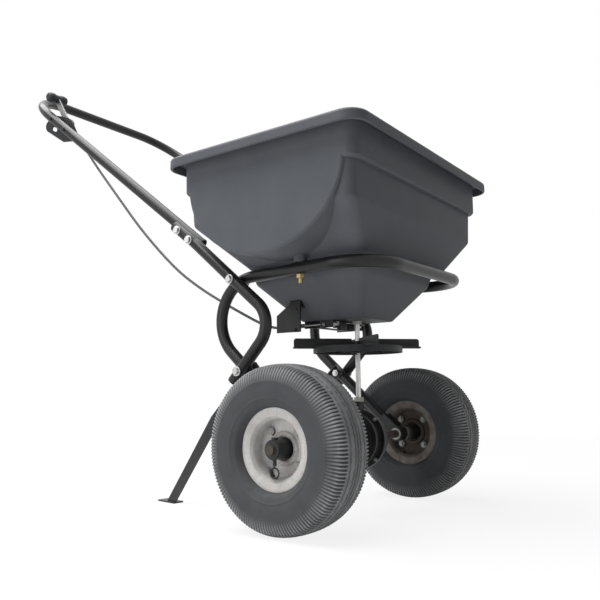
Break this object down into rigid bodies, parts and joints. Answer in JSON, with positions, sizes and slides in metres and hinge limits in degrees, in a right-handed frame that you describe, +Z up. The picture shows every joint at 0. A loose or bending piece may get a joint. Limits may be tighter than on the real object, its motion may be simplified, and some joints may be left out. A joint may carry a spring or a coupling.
{
  "type": "broadcast spreader",
  "caption": "Walk-behind broadcast spreader with a moulded hopper, bent tube frame and handle, pneumatic wheels, ground-driven impeller, cable-worked gate and fixed stand.",
  "frame": {"origin": "centre of the overall box on the ground", "axes": "+Z up, -Y the walking direction, +Y towards the handle, +X to the right of someone who walks behind it"},
  "size_m": [0.557, 0.9804, 0.971],
  "materials": {
    "tyre": "dusty moulded rubber",
    "inner_rubber": "smooth butyl rubber",
    "rim_grey": "satin warm grey paint on pressed steel",
    "black_paint": "semi-gloss black powder coat",
    "nylon": "natural nylon",
    "dark_steel": "dark oiled steel",
    "zinc": "bright zinc plate",
    "gear_steel": "sintered steel, greased",
    "brass_plate": "yellow zinc plate",
    "hopper_plastic": "satin charcoal moulding with fine grain",
    "moulded_black": "satin black moulding",
    "sheath": "extruded grey vinyl"
  },
  "bodies": {
    "frame": {"frame_tube": "black_paint", "lower_handle_left": "black_paint", "lower_handle_right": "black_paint", "upper_handle": "black_paint", "handle_bolts": "zinc", "crossing_bolts": "zinc", "stand_leg_left": "black_paint", "stand_leg_right": "black_paint", "hopper": "hopper_plastic", "hopper_bolts": "brass_plate", "gate_guides": "black_paint", "gate_screws": "zinc", "cable_bracket": "black_paint", "cable_clamp": "black_paint", "cable_end_tube": "sheath", "control_cable": "sheath", "cable_wire": "zinc", "axle_bearings": "nylon", "axle_brackets": "black_paint", "gear_case_left": "black_paint", "gear_case_right": "black_paint", "case_screws": "zinc", "shaft_bush_lower": "nylon", "shaft_bush_upper": "nylon", "control_bracket": "moulded_black", "lever_pivot": "zinc"},
    "drive_axle": {"axle": "dark_steel", "drive_pin": "black_paint", "wheel_cotter": "dark_steel", "end_washers": "dark_steel", "axle_spacers": "zinc", "drive_gear": "gear_steel", "gear_pin": "zinc", "tyre_left": "tyre", "inner_tube_left": "inner_rubber", "rim_outer_left": "rim_grey", "rim_inner_left": "rim_grey", "hub_left": "black_paint", "hub_bushes_left": "moulded_black", "rim_bolts_left": "zinc", "valve_left": "inner_rubber"},
    "right_wheel": {"tyre_right": "tyre", "inner_tube_right": "inner_rubber", "rim_outer_right": "rim_grey", "rim_inner_right": "rim_grey", "hub_right": "black_paint", "hub_bushes_right": "moulded_black", "rim_bolts_right": "zinc", "valve_right": "inner_rubber"},
    "impeller_drive": {"impeller_shaft": "zinc", "pinion": "gear_steel", "pinion_pin": "zinc", "impeller": "moulded_black", "impeller_pin": "black_paint", "agitator": "zinc"},
    "lever": {"flow_lever": "zinc", "lever_grip": "moulded_black"},
    "gate": {"gate_plate": "black_paint", "gate_rod": "zinc"}
  },
  "joints": [
    {"name": "axle_turn", "type": "hinge", "parent": "frame", "child": "drive_axle", "pos_m": [0, -0.31522, 0.1375], "axis": [1, 0, 0], "continuous": true},
    {"name": "right_wheel_turn", "type": "hinge", "parent": "drive_axle", "child": "right_wheel", "pos_m": [0.229, -0.31522, 0.1375], "axis": [1, 0, 0], "continuous": true},
    {"name": "impeller_turn", "type": "hinge", "parent": "frame", "child": "impeller_drive", "pos_m": [0, -0.31522, 0.3], "axis": [0, 0, 1], "continuous": true},
    {"name": "lever_swing", "type": "hinge", "parent": "frame", "child": "lever", "pos_m": [-0.20964, 0.33916, 0.85237], "axis": [0.9907, 0.1047, 0.0863], "range_deg": [0, 70]},
    {"name": "gate_slide", "type": "slide", "parent": "frame", "child": "gate", "axis": [0, 1, 0], "range_m": [0, 0.0183]}
  ],
  "couplings": [
    {"joint": "impeller_turn", "follows": "axle_turn", "ratio": -3},
    {"joint": "gate_slide", "follows": "lever_swing", "m_per_rad": 0.014977}
  ]
}
